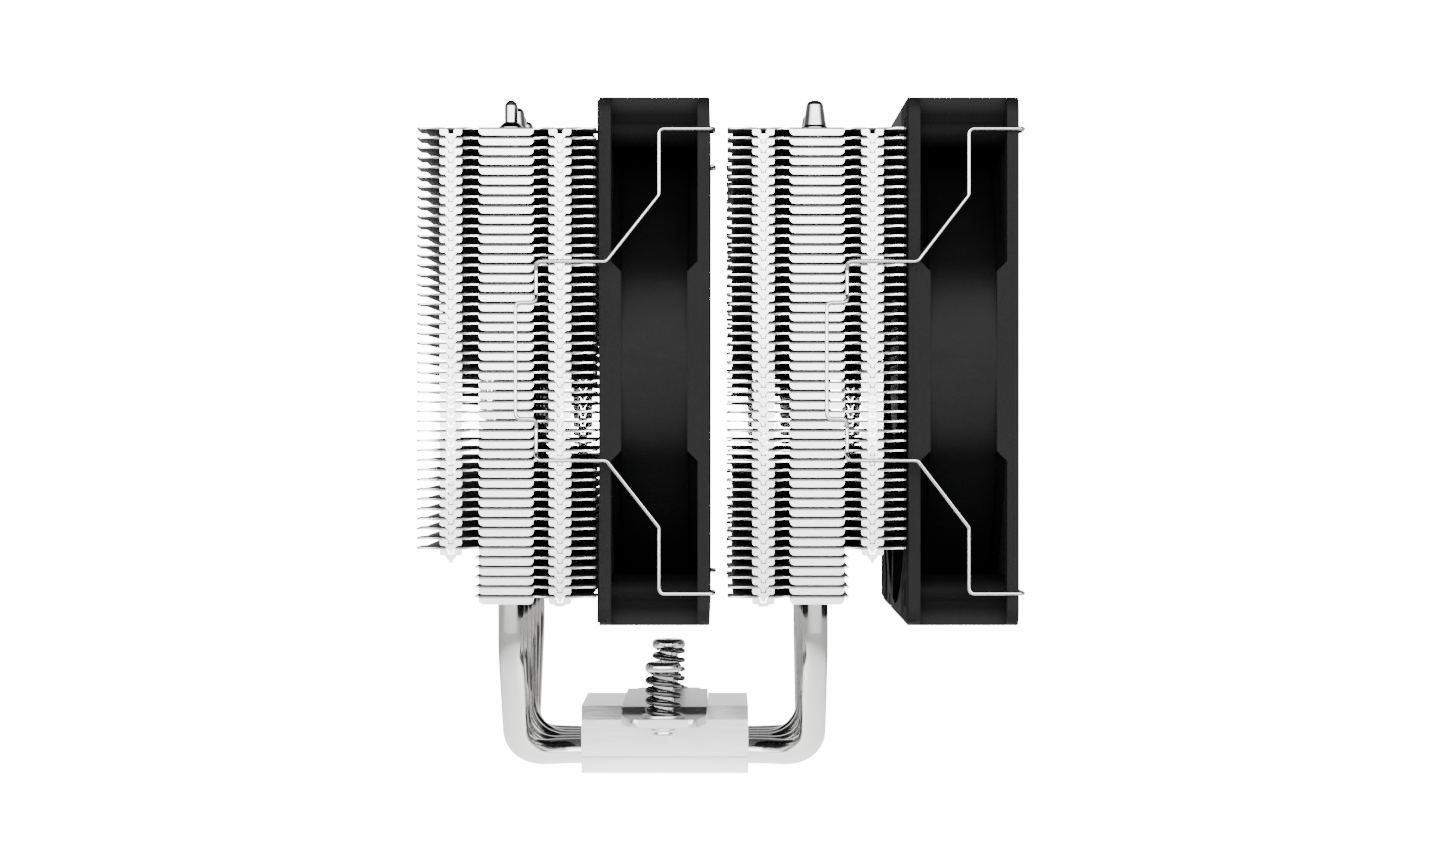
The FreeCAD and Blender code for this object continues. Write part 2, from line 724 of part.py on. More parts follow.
def screw_spring(end, side):
    """Compression spring between the washer and the screw's head."""
    coil_radius = "(dims.spring_outer - dims.spring_wire) / 2"
    seat = "dims.bar_top - dims.bar_drop + dims.washer_thick + dims.spring_wire / 2 + 0.03"
    rise = "dims.screw_head_z - dims.spring_wire / 2 - 0.03"
    helix = document.addObject("Part::Helix", "spring_path_" + end)
    helix.LocalCoord = "Left-handed"
    helix.setExpression("Radius", coil_radius)
    helix.setExpression("Height", f"{rise} - ({seat})")
    helix.setExpression("Pitch", f"({rise} - ({seat})) / dims.spring_turns")
    helix.setExpression("Placement.Base.y", side + "dims.screw_y")
    helix.setExpression("Placement.Base.z", seat)
    wire_section = document.addObject("Part::Circle", "spring_section_" + end)
    wire_section.setExpression("Radius", "dims.spring_wire / 2")
    upright = FreeCAD.Rotation(vector(1, 0, 0), 90)
    wire_section.Placement = FreeCAD.Placement(vector(), upright)
    wire_section.setExpression("Placement.Base.x", coil_radius)
    wire_section.setExpression("Placement.Base.y", side + "dims.screw_y")
    wire_section.setExpression("Placement.Base.z", seat)
    document.recompute()
    spring = document.addObject("Part::Sweep", "screw_spring_" + end)
    spring.Label = spring.Name
    spring.Sections = [wire_section]
    edges = [f"Edge{index}" for index in range(1, len(helix.Shape.Edges) + 1)]
    spring.Spine = (helix, edges)
    spring.Solid = True
    spring.Frenet = True
    sub_parts.append(spring)


# ---------------------------------------------------------------- fans

def fan_frame(name, fan_x):
    """Square frame: two rims round a barrel, corner bosses, hub plate on four struts."""
    body = new_body(f"{name}_frame")
    half = "dims.fan_size / 2"
    front = "dims.fan_thick / 2"
    back = "-dims.fan_thick / 2"
    bolt = "dims.hole_spacing / 2"
    bolts = [(f"{y_side}{bolt}", f"{z_side}{bolt}") for y_side in ("-", "") for z_side in ("-", "")]
    for rim_x in (back, front + " - dims.rim"):
        rim = new_sketch(body, "YZ_Plane", rim_x)
        rounded_square(rim, half, "dims.fan_corner")
        pad(body, rim, "dims.rim")
    barrel = new_sketch(body, "YZ_Plane", back + " + dims.rim / 2")
    circle(barrel, "0", "0", "dims.barrel_radius - dims.barrel_step")
    pad(body, barrel, "dims.fan_thick - dims.rim")
    band = new_sketch(body, "YZ_Plane", back + " + dims.rim_thick")
    circle(band, "0", "0", "dims.barrel_radius")
    pad(body, band, "dims.fan_thick - 2 * dims.rim_thick")
    for y, z in bolts:
        boss = new_sketch(body, "YZ_Plane", back + " + dims.rim / 2")
        circle(boss, y, z, "dims.boss_radius")
        pad(body, boss, "dims.fan_thick - dims.rim")
    for y_side in ("-", ""):
        for z_side in ("-", ""):
            web = new_sketch(body, "YZ_Plane", back + " + dims.rim / 2")
            polygon(web, [
                (f"{y_side}({bolt})", f"{z_side}({bolt} + dims.web_low)"),
                (f"{y_side}({bolt} + dims.web_face)", f"{z_side}({bolt} + dims.web_low)"),
                (f"{y_side}({bolt} + dims.web_face)", f"{z_side}({half} - dims.wall / 2)"),
                (f"{y_side}({bolt})", f"{z_side}({half} - dims.wall / 2)"),
            ])
            pad(body, web, "dims.fan_thick - dims.rim")
    for low in ("-" + half, half + " - dims.wall"):
        wall = new_sketch(body, "YZ_Plane", back + " + dims.rim / 2")
        rectangle(wall, f"-({half} - dims.fan_corner)", f"{half} - dims.fan_corner",
                  low, low + " + dims.wall")
        pad(body, wall, "dims.fan_thick - dims.rim")
    thickening(body, "-dims.fan_size / 2")
    thickening(body, "dims.fan_size / 2 - dims.rim_thick")
    bore = new_sketch(body, "YZ_Plane", "-dims.fan_thick")
    circle(bore, "0", "0", "dims.fan_bore")
    pocket(body, bore, "2 * dims.fan_thick")
    soften(body, "Chamfer", "dims.intake_chamfer", is_intake_lip)
    holes = new_sketch(body, "YZ_Plane", "-dims.fan_thick")
    for y, z in bolts:
        circle(holes, y, z, "dims.hole_radius")
    pocket(body, holes, "2 * dims.fan_thick")
    recesses = new_sketch(body, "YZ_Plane", back)
    pad_outlines(recesses)
    pocket(body, recesses, "dims.pad_thick - dims.pad_proud")
    cable_slot = new_sketch(body, "YZ_Plane", back)
    rectangle(cable_slot, "dims.cable_slot_y", "dims.cable_slot_y + dims.cable_slot_wide",
              "-" + half + " - 1", "-" + half + " + dims.cable_slot_deep")
    pocket(body, cable_slot, "dims.rim")
    hub(body, back)
    place(body, fan_x, "0", "dims.fan_z")


def thickening(body, lift):
    """Thicker middle part of both rims on one side of the frame, with sloped ends."""
    flat = "dims.rim_thick_half"
    slope = "(dims.rim_thick - dims.rim)"
    for face in ("-", ""):
        block = new_sketch(body, "XZ_Plane", lift)
        outer = f"{face}(dims.fan_thick / 2 - dims.rim / 2)"
        shoulder = f"{face}(dims.fan_thick / 2 - dims.rim)"
        inner = f"{face}(dims.fan_thick / 2 - dims.rim_thick)"
        polygon(block, [
            (outer, f"-{flat} - {slope}"),
            (shoulder, f"-{flat} - {slope}"),
            (inner, f"-{flat}"),
            (inner, flat),
            (shoulder, f"{flat} + {slope}"),
            (outer, f"{flat} + {slope}"),
        ])
        pad(body, block, "dims.rim_thick")


def is_intake_lip(edge):
    """Round edge of the bore on the intake face."""
    if not isinstance(edge.Curve, Part.Circle):
        return False
    return (abs(edge.Curve.Radius - size("dims.fan_bore")) < 0.01
            and edge.BoundBox.XLength < 0.01
            and abs(edge.CenterOfMass.x - size("dims.fan_thick / 2")) < 0.01)


def pad_outlines(sketch):
    """Five-sided corner pads, kept clear of the bore."""
    outer = "(dims.fan_size / 2 - dims.pad_edge)"
    inner = "(dims.fan_size / 2 - dims.pad_reach)"
    cut = "(dims.fan_size / 2 - dims.pad_leg)"
    for y_side in ("-", ""):
        for z_side in ("-", ""):
            polygon(sketch, [
                (y_side + outer, z_side + inner),
                (y_side + outer, z_side + outer),
                (y_side + inner, z_side + outer),
                (y_side + inner, z_side + cut),
                (y_side + cut, z_side + inner),
            ])


def hub(body, back):
    """Hub plate, bearing tube and struts of a fan frame."""
    plate = new_sketch(body, "YZ_Plane", back)
    circle(plate, "0", "0", "dims.hub_radius")
    pad(body, plate, "dims.hub_plate")
    strut = new_sketch(body, "YZ_Plane", back)
    polygon(strut, [
        ("dims.hub_radius - 2", "-dims.strut_width / 2"),
        ("dims.fan_bore + 1", "-dims.strut_width / 2 + dims.strut_lean"),
        ("dims.fan_bore + 1", "dims.strut_width / 2 + dims.strut_lean"),
        ("dims.hub_radius - 2", "dims.strut_width / 2"),
    ])
    polar(body, [pad(body, strut, "dims.strut_thick")], "dims.strut_count")
    tube = new_sketch(body, "YZ_Plane", back + " + dims.hub_plate / 2")
    circle(tube, "0", "0", "dims.tube_radius")
    pad(body, tube, "dims.tube_top_x + dims.fan_thick / 2 - dims.hub_plate / 2")
    seat = new_sketch(body, "YZ_Plane", "-dims.fan_thick")
    circle(seat, "0", "0", "dims.sleeve_radius")
    pocket(body, seat, "2 * dims.fan_thick")


def rubber_pads(name, fan_x):
    """Four soft corner pads between the fan and the fins."""
    body = new_body(f"{name}_rubber_pads")
    outlines = new_sketch(body, "YZ_Plane", "-dims.fan_thick / 2 - dims.pad_proud")
    pad_outlines(outlines)
    pad(body, outlines, "dims.pad_thick")
    holes = new_sketch(body, "YZ_Plane", "-dims.fan_thick")
    for y_side in ("-", ""):
        for z_side in ("-", ""):
            circle(holes, y_side + "dims.hole_spacing / 2", z_side + "dims.hole_spacing / 2",
                   "dims.pad_hole")
    pocket(body, holes, "dims.fan_thick")
    place(body, fan_x, "0", "dims.fan_z")


def impeller(name, fan_x):
    """Hub cup with swept, twisted blades."""
    body = new_body(f"{name}_impeller")
    cup = new_sketch(body, "XY_Plane")
    floor_x = "dims.cup_front_x - dims.cup_front_thick"
    polygon(cup, [
        ("dims.cup_open_x", "dims.cup_inner"),
        ("dims.cup_open_x", "dims.cup_radius"),
        ("dims.cup_front_x - dims.cup_edge", "dims.cup_radius"),
        ("dims.cup_front_x - dims.cup_edge / 3", "dims.cup_radius - dims.cup_edge / 3"),
        ("dims.cup_front_x", "dims.cup_radius - dims.cup_edge"),
        ("dims.cup_front_x", "0"),
        (floor_x + " + dims.shaft_in_cup", "0"),
        (floor_x + " + dims.shaft_in_cup", "dims.shaft_radius"),
        (floor_x + " - dims.cup_boss", "dims.shaft_radius"),
        (floor_x + " - dims.cup_boss", "dims.cup_boss_radius"),
        (floor_x, "dims.cup_boss_radius + 0.5"),
        (floor_x, "dims.cup_inner"),
    ])
    turn(body, cup)
    root = blade_section(body, "dims.cup_radius - dims.cup_edge", "root")
    middle = blade_section(body, "dims.fan_bore * 0.66", "middle")
    tip = blade_section(body, "dims.fan_bore + 0.5", "tip")
    document.recompute()
    blade = body.newObject("PartDesign::AdditiveLoft", body.Name + "_blade")
    blade.Profile = root
    blade.Sections = [middle, tip]
    polar(body, [blade], "dims.blade_count")
    document.recompute()
    trim = new_sketch(body, "XY_Plane")
    rectangle(trim, "-dims.fan_thick", "dims.fan_thick", "dims.fan_bore - dims.tip_clearance",
              "dims.fan_bore * 1.5")
    ring = body.newObject("PartDesign::Groove", body.Name + "_trim")
    ring.Profile = trim
    ring.ReferenceAxis = (trim, ["H_Axis"])
    ring.Angle = 360
    place(body, fan_x, "0", "dims.fan_z")


def blade_section(body, radius, where):
    """Cambered blade section on a plane at one radius: two arcs joined by blunt ends."""
    sketch = new_sketch(body, "XZ_Plane", f"-({radius})")
    chord = size(f"dims.{where}_chord")
    thick = size(f"dims.{where}_thick")
    lean = math.radians(size(f"dims.{where}_lean"))
    along = vector(math.sin(lean), -math.cos(lean), 0)
    across = vector(math.cos(lean), math.sin(lean), 0)
    centre = vector(size("dims.blade_x"), size(f"dims.{where}_sweep"), 0)
    blunt = across * size("dims.blade_edge")
    camber = across * (chord * size("dims.blade_camber"))
    leading = centre + along * (chord / 2)
    trailing = centre - along * (chord / 2)
    upper_middle = centre + camber + across * (thick / 2)
    lower_middle = centre + camber - across * (thick / 2)
    sketch.addGeometry([
        Part.Arc(leading + blunt, upper_middle, trailing + blunt),
        Part.LineSegment(trailing + blunt, trailing - blunt),
        Part.Arc(trailing - blunt, lower_middle, leading - blunt),
        Part.LineSegment(leading - blunt, leading + blunt),
    ], False)
    return sketch


def turned_part(label, fan_x, corners):
    """Motor part turned about the fan's axis from (x, radius) pairs."""
    body = new_body(label)
    profile = new_sketch(body, "XY_Plane")
    polygon(profile, corners)
    turn(body, profile)
    place(body, fan_x, "0", "dims.fan_z")
    return body


def ring_corners(start_x, end_x, inner, outer):
    return [(start_x, inner), (start_x, outer), (end_x, outer), (end_x, inner)]


def motor(name, fan_x):
    """Outer-rotor motor: yoke, magnet and shaft turn; sleeve, stator and board stand still."""
    floor_x = "dims.cup_front_x - dims.cup_front_thick"
    yoke_inner = "dims.cup_inner - dims.yoke_thick"
    magnet_inner = yoke_inner + " - dims.magnet_thick"
    yoke = [
        ("dims.cup_open_x + dims.yoke_inset", yoke_inner),
        ("dims.cup_open_x + dims.yoke_inset", "dims.cup_inner"),
        (floor_x, "dims.cup_inner"),
        (floor_x, "dims.yoke_hole"),
        (floor_x + " - dims.yoke_thick", "dims.yoke_hole"),
        (floor_x + " - dims.yoke_thick", yoke_inner),
    ]
    turned_part(f"{name}_rotor_yoke", fan_x, yoke)
    turned_part(f"{name}_magnet_ring", fan_x, ring_corners(
        "-dims.magnet_length / 2", "dims.magnet_length / 2", magnet_inner, yoke_inner))
    shaft_end = "-dims.fan_thick / 2 + dims.shaft_inset"
    neck_start = shaft_end + " + dims.shaft_neck_from"
    neck_end = neck_start + " + dims.shaft_neck_long"
    neck = "dims.shaft_radius - dims.shaft_neck_deep"
    shaft = [
        (shaft_end, "0"),
        (shaft_end, "dims.shaft_radius"),
        (neck_start, "dims.shaft_radius"),
        (neck_start, neck),
        (neck_end, neck),
        (neck_end, "dims.shaft_radius"),
        (floor_x + " + dims.shaft_in_cup", "dims.shaft_radius"),
        (floor_x + " + dims.shaft_in_cup", "0"),
    ]
    turned_part(f"{name}_shaft", fan_x, shaft)
    turned_part(f"{name}_shaft_retainer", fan_x, ring_corners(
        neck_start + " + dims.retainer_play", neck_end + " - dims.retainer_play",
        neck + " + dims.retainer_play", "dims.sleeve_radius - dims.shaft_neck_deep"))
    turned_part(f"{name}_bearing_sleeve", fan_x, ring_corners(
        neck_end + " + dims.sleeve_behind_neck", "dims.tube_top_x",
        "dims.shaft_radius + dims.shaft_play", "dims.sleeve_radius"))
    stator_radius = f"({magnet_inner} - dims.stator_gap)"
    stator_core(name, fan_x, stator_radius)
    windings(name, fan_x, stator_radius)
    board_x = "-dims.fan_thick / 2 + dims.hub_plate"
    turned_part(f"{name}_circuit_board", fan_x, ring_corners(
        board_x, board_x + " + dims.circuit_thick", "dims.tube_radius", "dims.circuit_radius"))
    label_x = "-dims.fan_thick / 2 - dims.label_thick"
    turned_part(f"{name}_hub_label", fan_x, [
        (label_x, "0"), (label_x, "dims.label_radius"),
        ("-dims.fan_thick / 2", "dims.label_radius"), ("-dims.fan_thick / 2", "0"),
    ])


def stator_core(name, fan_x, stator_radius):
    """Laminated core: a ring on the bearing tube with four T-shaped poles."""
    body = new_body(f"{name}_stator_core")
    start = "-dims.stator_length / 2"
    pole_ring = new_sketch(body, "YZ_Plane", start)
    circle(pole_ring, "0", "0", stator_radius)
    circle(pole_ring, "0", "0", "dims.tube_radius")
    pad(body, pole_ring, "dims.stator_length")
    slot = new_sketch(body, "YZ_Plane", start)
    shoe = f"{stator_radius} * 0.60"
    polygon(slot, [
        ("dims.pole_root", "dims.pole_half_width"),
        (shoe, "dims.pole_half_width"),
        (f"{stator_radius} * 0.62", f"{stator_radius} * 0.53"),
        (f"{stator_radius} * 0.80", f"{stator_radius} * 0.71"),
        (f"{stator_radius} * 0.71", f"{stator_radius} * 0.80"),
        (f"{stator_radius} * 0.53", f"{stator_radius} * 0.62"),
        ("dims.pole_half_width", shoe),
        ("dims.pole_half_width", "dims.pole_root"),
    ])
    polar(body, [pocket(body, slot, "dims.stator_length")], "dims.pole_count")
    place(body, fan_x, "0", "dims.fan_z")


def windings(name, fan_x, stator_radius):
    """Four coils, one round each pole."""
    body = new_body(f"{name}_windings")
    end = "(dims.stator_length / 2 + dims.coil_over_core)"
    coil = new_sketch(body, "XY_Plane", "-dims.coil_half_width")
    rectangle(coil, "-" + end, end, "dims.coil_inner", "dims.coil_outer")
    block = pad(body, coil, "2 * dims.coil_half_width")
    pole = new_sketch(body, "XY_Plane", "-dims.pole_half_width")
    rectangle(pole, "-dims.stator_length / 2", "dims.stator_length / 2",
              "dims.coil_inner - 1", "dims.coil_outer + 1")
    opening = pocket(body, pole, "2 * dims.pole_half_width")
    polar(body, [block, opening], "dims.pole_count")
    place(body, fan_x, "0", "dims.fan_z")


# ---------------------------------------------------------------- wire clips

def fan_clip(name, end, side, fan_x):
    """Bent spring wire: hooks in two screw holes, a loop that drops into the fins' groove."""
    body = new_body(f"{name}_clip_{end}")
    face = size("dims.fan_thick / 2")
    hole = size("dims.hole_spacing / 2")
    over_face = face + size("dims.clip_face_gap")
    middle = face - size("dims.clip_across_frame")
    beside_frame = size("dims.fan_size / 2 + dims.clip_frame_gap")
    beside_fins = size("dims.fin_width / 2 + dims.clip_fin_gap")
    in_groove = size("dims.fin_width / 2 - dims.clip_groove_depth")
    groove_x = -size("dims.clip_reach")
    arm = size("dims.clip_arm_z")
    loop = size("dims.clip_loop_z")
    upper_half = [
        (face - size("dims.clip_hook"), hole, hole),
        (over_face, hole, hole),
        (over_face, beside_frame, hole),
        (middle, beside_frame, hole),
        (middle, beside_frame, hole - size("dims.clip_drop")),
        (middle - size("dims.clip_slant"), beside_fins, arm),
        (groove_x, beside_fins, arm),
        (groove_x, in_groove, size("dims.clip_groove_high_z")),
        (groove_x, in_groove, size("dims.clip_groove_low_z")),
        (groove_x, beside_fins, loop),
        (groove_x - size("dims.clip_loop"), beside_fins, loop),
    ]
    lower_half = [(x, y, -z) for x, y, z in reversed(upper_half)]
    sign = -1 if side else 1
    corners = [vector(x, sign * y, z) for x, y, z in upper_half + lower_half]
    path = rounded_path(f"{name}_clip_path_{end}", corners, size("dims.wire_bend"))
    section = new_sketch(body, "YZ_Plane", "dims.fan_thick / 2 - dims.clip_hook")
    circle(section, f"{side}dims.hole_spacing / 2", "dims.hole_spacing / 2", "dims.wire_radius")
    sweep(body, section, path)
    place(body, fan_x, "0", "dims.fan_z")


# ---------------------------------------------------------------- assembly

cold_plate()
base_block()
for pipe_number, pipe_place in enumerate(PIPE_PLACES, start=1):
    heat_pipe(pipe_number, pipe_place)
fin_stack("fin_stack_right", turned=False)
fin_stack("fin_stack_left", turned=True)
crossbar()
for end_name, end_side in (("near", "-"), ("far", "")):
    crossbar_screw(end_name, end_side)
    seat_washer(end_name, end_side)
    screw_spring(end_name, end_side)
    screw_e_clip(end_name, end_side)
    spring_screw(end_name, end_side)
for fan_name, tower in (("middle_fan", "-dims.tower_x"), ("outer_fan", "dims.tower_x")):
    middle_x = tower + " + dims.fan_ahead"
    fan_frame(fan_name, middle_x)
    rubber_pads(fan_name, middle_x)
    impeller(fan_name, middle_x)
    motor(fan_name, middle_x)
    for end_name, end_side in (("near", "-"), ("far", "")):
        fan_clip(fan_name, end_name, end_side, middle_x)

document.recompute()
for item in document.Objects:
    if "Invalid" in item.State or "Error" in item.State:
        raise RuntimeError(f"{item.Name} failed: {item.State}")
os.makedirs("parts", exist_ok=True)
for item in sub_parts:
    if item.Shape.isNull() or not item.Shape.isValid():
        raise RuntimeError(f"{item.Label} has no valid shape")
    item.Shape.exportStep(f"parts/{item.Label}.step")
    print(f"{item.Label}: {len(item.Shape.Solids)} solid(s), {item.Shape.Volume:.1f} mm3")
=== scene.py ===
import math

import bmesh
import bpy
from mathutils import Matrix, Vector


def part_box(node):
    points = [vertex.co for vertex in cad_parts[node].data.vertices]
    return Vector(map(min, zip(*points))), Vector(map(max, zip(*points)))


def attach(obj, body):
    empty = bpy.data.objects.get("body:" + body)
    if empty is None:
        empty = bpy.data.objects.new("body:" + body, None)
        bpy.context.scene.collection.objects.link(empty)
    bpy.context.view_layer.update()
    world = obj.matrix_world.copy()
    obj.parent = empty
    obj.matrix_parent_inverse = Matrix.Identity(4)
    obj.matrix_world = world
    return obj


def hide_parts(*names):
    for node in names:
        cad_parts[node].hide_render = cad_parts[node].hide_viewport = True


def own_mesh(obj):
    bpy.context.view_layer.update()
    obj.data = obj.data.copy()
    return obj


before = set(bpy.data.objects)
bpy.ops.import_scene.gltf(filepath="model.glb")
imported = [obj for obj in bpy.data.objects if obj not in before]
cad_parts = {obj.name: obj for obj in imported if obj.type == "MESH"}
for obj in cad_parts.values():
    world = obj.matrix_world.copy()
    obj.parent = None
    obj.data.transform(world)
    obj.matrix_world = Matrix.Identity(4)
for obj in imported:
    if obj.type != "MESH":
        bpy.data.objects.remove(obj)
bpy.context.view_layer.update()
MM = 0.001

# ---------------------------------------------------------------- floor, light and camera
# The cooler stands on a white floor that shows no shadow. Floor and surround are pure white only where
# they are looked at; they light the cooler with softer values, from a wide bright wall behind the
# camera, with dimmer sides and a dark ceiling. A long lens looks level.

BURNT_OUT = 16.0
FLOOR_DROP = 0.05 * MM
POOL_EDGE = (0.02, 0.15)
POOL_LIGHT = (2.0, 0.06)
FRONT_WALL = (-0.85, -0.20, 8.0, 0.15)
BACK_WALL = (0.55, 0.95, 0.0, 1.2)
CEILING = (0.20, 0.75, 1.0, 0.02)
FOCAL_LENGTH = 83.6
EYE = (13.13 * MM, -816 * MM, 84.08 * MM)


def lit_when_seen(nodes, links, strength_input, otherwise):
    """Brightness of a surface that is burnt out where it is looked at directly."""
    path = nodes.new("ShaderNodeLightPath")
    mix = nodes.new("ShaderNodeMix")
    links.new(path.outputs["Is Camera Ray"], mix.inputs["Factor"])
    mix.inputs["B"].default_value = BURNT_OUT
    links.new(otherwise, mix.inputs["A"])
    links.new(mix.outputs["Result"], strength_input)


def fade(nodes, links, value, start, end, at_start, at_end):
    """Soft change of brightness from one value of a distance or direction to another."""
    step = nodes.new("ShaderNodeMapRange")
    step.interpolation_type = "SMOOTHSTEP"
    for socket, number in (("From Min", start), ("From Max", end), ("To Min", at_start),
                           ("To Max", at_end)):
        step.inputs[socket].default_value = number
    links.new(value, step.inputs["Value"])
    return step.outputs["Result"]


bpy.ops.object.select_all(action="DESELECT")
bpy.ops.mesh.primitive_plane_add(size=6, location=(0, 0, -FLOOR_DROP))
floor = bpy.context.object
floor.name = "studio_floor"
floor_paint = bpy.data.materials.new("floor_white")
floor_paint.use_nodes = True
floor_shader = floor_paint.node_tree.nodes["Principled BSDF"]
floor_shader.inputs["Base Color"].default_value = (0.93, 0.93, 0.93, 1)
floor_shader.inputs["Roughness"].default_value = 0.8
floor_shader.inputs["Emission Color"].default_value = (1, 1, 1, 1)
floor_nodes = floor_paint.node_tree.nodes
floor_links = floor_paint.node_tree.links
# The floor glows: besides looking burnt-out white to the camera, it is brightest in a pool round its
# middle and lights the cooler from below.
floor_place = floor_nodes.new("ShaderNodeTexCoord")
from_middle = floor_nodes.new("ShaderNodeVectorMath")
from_middle.operation = "LENGTH"
floor_links.new(floor_place.outputs["Object"], from_middle.inputs[0])
pool = fade(floor_nodes, floor_links, from_middle.outputs["Value"], *POOL_EDGE, *POOL_LIGHT)
lit_when_seen(floor_nodes, floor_links, floor_shader.inputs["Emission Strength"], pool)
floor.data.materials.append(floor_paint)

room = bpy.data.worlds.new("white_cove")
room.use_nodes = True
room_nodes = room.node_tree.nodes
room_links = room.node_tree.links
direction = room_nodes.new("ShaderNodeTexCoord")
split = room_nodes.new("ShaderNodeSeparateXYZ")
room_links.new(direction.outputs["Generated"], split.inputs["Vector"])

front = fade(room_nodes, room_links, split.outputs["Y"], *FRONT_WALL)
behind = fade(room_nodes, room_links, split.outputs["Y"], *BACK_WALL)
ceiling = fade(room_nodes, room_links, split.outputs["Z"], *CEILING)
walls = room_nodes.new("ShaderNodeMath")
walls.operation = "ADD"
room_links.new(front, walls.inputs[0])
room_links.new(behind, walls.inputs[1])
shine = room_nodes.new("ShaderNodeMath")
shine.operation = "MULTIPLY"
room_links.new(walls.outputs["Value"], shine.inputs[0])
room_links.new(ceiling, shine.inputs[1])
backdrop = room_nodes["Background"]
backdrop.inputs["Color"].default_value = (1, 1, 1, 1)
lit_when_seen(room_nodes, room_links, backdrop.inputs["Strength"], shine.outputs["Value"])
bpy.context.scene.world = room

lens = bpy.data.cameras.new("long_lens")
lens.sensor_width = 36
lens.lens = FOCAL_LENGTH
lens.shift_y = -0.0035
camera = bpy.data.objects.new("camera", lens)
camera.location = EYE
camera.rotation_euler = (math.radians(90), 0, 0)
bpy.context.scene.collection.objects.link(camera)
bpy.context.scene.camera = camera

# ---------------------------------------------------------------- base block and cold plate
# Two milled copper blocks soldered round the pipes and nickel plated, so they are pale grey, with
# the faint parallel marks of the mill under the plating; the cold plate is toned darker above the
# height where the solder joint starts.


def plated_metal(name, colour, roughness, grain=(900, 900, 900), marks=0.05, spread=0.06):
    """Metal with fine marks that stretch along one direction, in its gloss and its relief."""
    material = bpy.data.materials.new(name)
    material.use_nodes = True
    nodes = material.node_tree.nodes
    links = material.node_tree.links
    shader = nodes["Principled BSDF"]
    shader.inputs["Base Color"].default_value = (*colour, 1)
    shader.inputs["Metallic"].default_value = 1
    place = nodes.new("ShaderNodeTexCoord")
    stretch = nodes.new("ShaderNodeMapping")
    stretch.inputs["Scale"].default_value = grain
    links.new(place.outputs["Object"], stretch.inputs["Vector"])
    noise = nodes.new("ShaderNodeTexNoise")
    noise.inputs["Scale"].default_value = 1
    noise.inputs["Detail"].default_value = 4
    links.new(stretch.outputs["Vector"], noise.inputs["Vector"])
    gloss = nodes.new("ShaderNodeMapRange")
    gloss.inputs["To Min"].default_value = max(roughness - spread, 0.02)
    gloss.inputs["To Max"].default_value = roughness + spread
    links.new(noise.outputs["Fac"], gloss.inputs["Value"])
    links.new(gloss.outputs["Result"], shader.inputs["Roughness"])
    relief = nodes.new("ShaderNodeBump")
    relief.inputs["Strength"].default_value = marks
    relief.inputs["Distance"].default_value = 0.05 * MM
    links.new(noise.outputs["Fac"], relief.inputs["Height"])
    links.new(relief.outputs["Normal"], shader.inputs["Normal"])
    return material


def ease_edges(node, width, segments=2, sharper_than=32):
    """Small rounding that every machined or moulded edge has."""
    weld = node.modifiers.new("weld", "WELD")
    weld.merge_threshold = 0.004 * MM
    bevel = node.modifiers.new("eased_edges", "BEVEL")
    bevel.width = width * MM
    bevel.segments = segments
    bevel.limit_method = "ANGLE"
    bevel.angle_limit = math.radians(sharper_than)
    bevel.use_clamp_overlap = True
    bevel.harden_normals = True


def dress(name, material, edge=0.0, **bevel):
    """CAD node that keeps its shape: its finish, and eased edges where an edge width is given."""
    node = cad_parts[name]
    node.data.materials.clear()
    node.data.materials.append(material)
    if edge:
        ease_edges(node, edge, **bevel)
    return node


milled_nickel = plated_metal("milled_nickel", (0.93, 0.93, 0.92), 0.20, (150, 2600, 2600), 0.10)
lapped_nickel = plated_metal("lapped_nickel", (0.93, 0.93, 0.92), 0.18, (200, 200, 3000), 0.06)


def shade_by(material, amount):
    """Darkens a material's base colour by a brightness between 0 and 1."""
    links = material.node_tree.links
    shader = material.node_tree.nodes["Principled BSDF"]
    base = shader.inputs["Base Color"]
    mix = material.node_tree.nodes.new("ShaderNodeMix")
    mix.data_type = "RGBA"
    mix.blend_type = "MULTIPLY"
    mix.inputs["Factor"].default_value = 1
    if base.is_linked:
        links.new(base.links[0].from_socket, mix.inputs["A"])
    else:
        mix.inputs["A"].default_value = base.default_value
    links.new(amount, mix.inputs["B"])
    links.new(mix.outputs["Result"], base)


def along(material, axis):
    """One coordinate of the point, in the cooler's own frame."""
    nodes = material.node_tree.nodes
    place = nodes.new("ShaderNodeTexCoord")
    parts = nodes.new("ShaderNodeSeparateXYZ")
    material.node_tree.links.new(place.outputs["Object"], parts.inputs["Vector"])
    return parts.outputs[axis]


SOLDER_EDGE = (3.5 * MM, 3.6 * MM)
SOLDER_TONE = 0.72
solder_line = fade(lapped_nickel.node_tree.nodes, lapped_nickel.node_tree.links,
                   along(lapped_nickel, "Z"), *SOLDER_EDGE, 1.0, SOLDER_TONE)
shade_by(lapped_nickel, solder_line)
dress("base_block", milled_nickel, 0.15, sharper_than=15)
dress("cold_plate", lapped_nickel, 0.3, sharper_than=15)

# ---------------------------------------------------------------- heat pipes
# Six copper tubes, bent to a U and nickel plated after soldering. The plating is bright, with a
# slight unevenness of its gloss and relief.

bright_nickel = plated_metal("bright_nickel", (0.71, 0.705, 0.69), 0.13, (420, 420, 120), 0.12, 0.05)
for number in range(1, 7):
    dress(f"heat_pipe_{number}", bright_nickel)

# ---------------------------------------------------------------- fin stacks
# Each tower is 49 stamped aluminium sheets. Both side edges fold down into one wide flange and two
# narrow links, whose prongs drop into the V of the link below and hold the pitch; collars grip the
# pipes. The lowest five sheets are cut away on the outside.

rolled_aluminium = plated_metal("rolled_aluminium", (0.93, 0.935, 0.94), 0.24, (2200, 120, 600),
                                0.10, 0.07)
